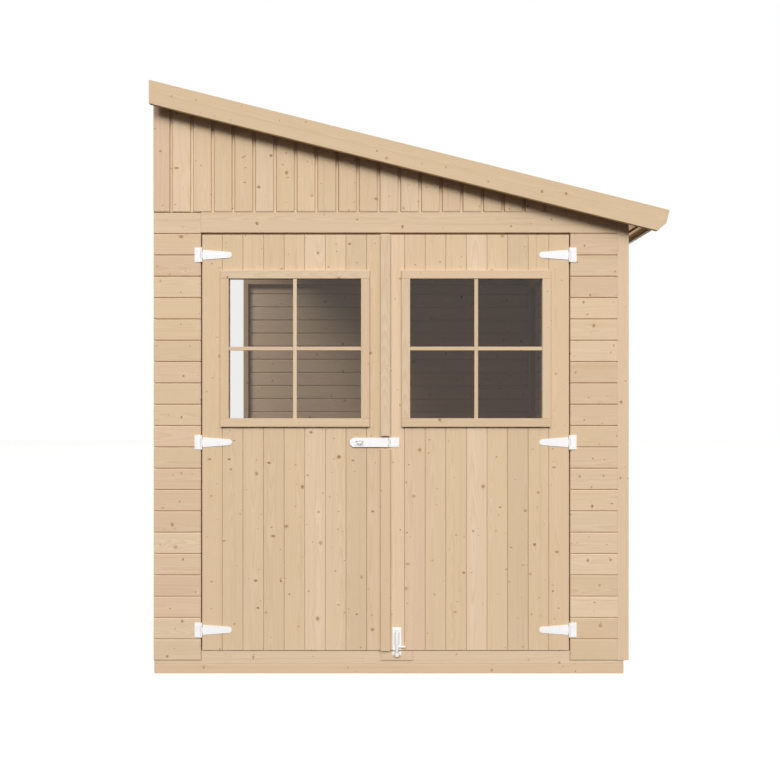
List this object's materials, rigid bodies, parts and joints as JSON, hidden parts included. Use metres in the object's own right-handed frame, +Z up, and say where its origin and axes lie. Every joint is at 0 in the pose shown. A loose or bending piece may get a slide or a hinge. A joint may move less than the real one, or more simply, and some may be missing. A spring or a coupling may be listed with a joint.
{
  "type": "wooden garden shed",
  "caption": "Lean-to wooden garden shed, open on its tall side, with boarded walls, a pent roof and a pair of hinged doors with small windows.",
  "frame": {"origin": "ground level under the middle of the roof's outline", "axes": "+X from the tall open side to the low wall, +Y from the doors to the back wall, +Z up"},
  "size_m": [2.033, 2.03, 2.3436],
  "materials": {
    "cladding_wood": "planed untreated softwood with small knots",
    "door_wood": "planed untreated softwood with small knots",
    "frame_wood": "sawn untreated softwood",
    "deck_wood": "planed softwood boards",
    "roof_felt": "mineral roofing felt",
    "white_metal": "white powder coat",
    "window_glass": "clear sheet"
  },
  "bodies": {
    "shed": {"base_beams_front_back": "frame_wood", "base_beams_sides": "frame_wood", "floor_joists": "frame_wood", "floor_boards": "deck_wood", "threshold": "frame_wood", "back_sill": "frame_wood", "side_sill": "frame_wood", "front_cladding_left": "cladding_wood", "front_cladding_right": "cladding_wood", "door_header": "cladding_wood", "front_gable": "cladding_wood", "back_cladding": "cladding_wood", "back_gable": "cladding_wood", "side_cladding": "cladding_wood", "corner_trims": "cladding_wood", "wall_posts": "frame_wood", "front_lintel": "frame_wood", "back_top_rail": "frame_wood", "side_top_plate": "frame_wood", "gable_rails": "frame_wood", "door_stops": "frame_wood", "high_side_beam": "frame_wood", "rafters": "frame_wood", "roof_boards": "deck_wood", "roof_felt": "roof_felt", "barge_boards": "cladding_wood", "hinge_plates": "white_metal", "bolt_block": "cladding_wood", "bolt_keep": "white_metal"},
    "left_door": {"left_door_boards": "door_wood", "left_door_battens": "frame_wood", "left_window_frame": "door_wood", "left_window_glass": "window_glass", "left_door_straps": "white_metal", "meeting_strip": "door_wood", "hasp_staple": "white_metal"},
    "right_door": {"right_door_boards": "door_wood", "right_door_battens": "frame_wood", "right_window_frame": "door_wood", "right_window_glass": "window_glass", "right_door_straps": "white_metal", "hasp_plate": "white_metal", "bolt_housing": "white_metal"},
    "hasp": {"hasp_leaf": "white_metal"},
    "bolt": {"bolt_rod": "white_metal"}
  },
  "joints": [
    {"name": "left_door_swing", "type": "hinge", "parent": "shed", "child": "left_door", "pos_m": [-0.8255, -0.957, 0.924], "axis": [0, 0, -1], "range_deg": [0, 165]},
    {"name": "right_door_swing", "type": "hinge", "parent": "shed", "child": "right_door", "pos_m": [0.6405, -0.957, 0.924], "axis": [0, 0, 1], "range_deg": [0, 165]},
    {"name": "hasp_swing", "type": "hinge", "parent": "right_door", "child": "hasp", "pos_m": [-0.0773, -0.9585, 0.924], "axis": [0, 0, 1], "range_deg": [0, 170]},
    {"name": "bolt_slide", "type": "slide", "parent": "right_door", "child": "bolt", "axis": [0, 0, -1], "range_m": [0, 0.015]}
  ],
  "couplings": [
    {"joint": "right_door_swing", "follows": "left_door_swing", "ratio": 1}
  ]
}
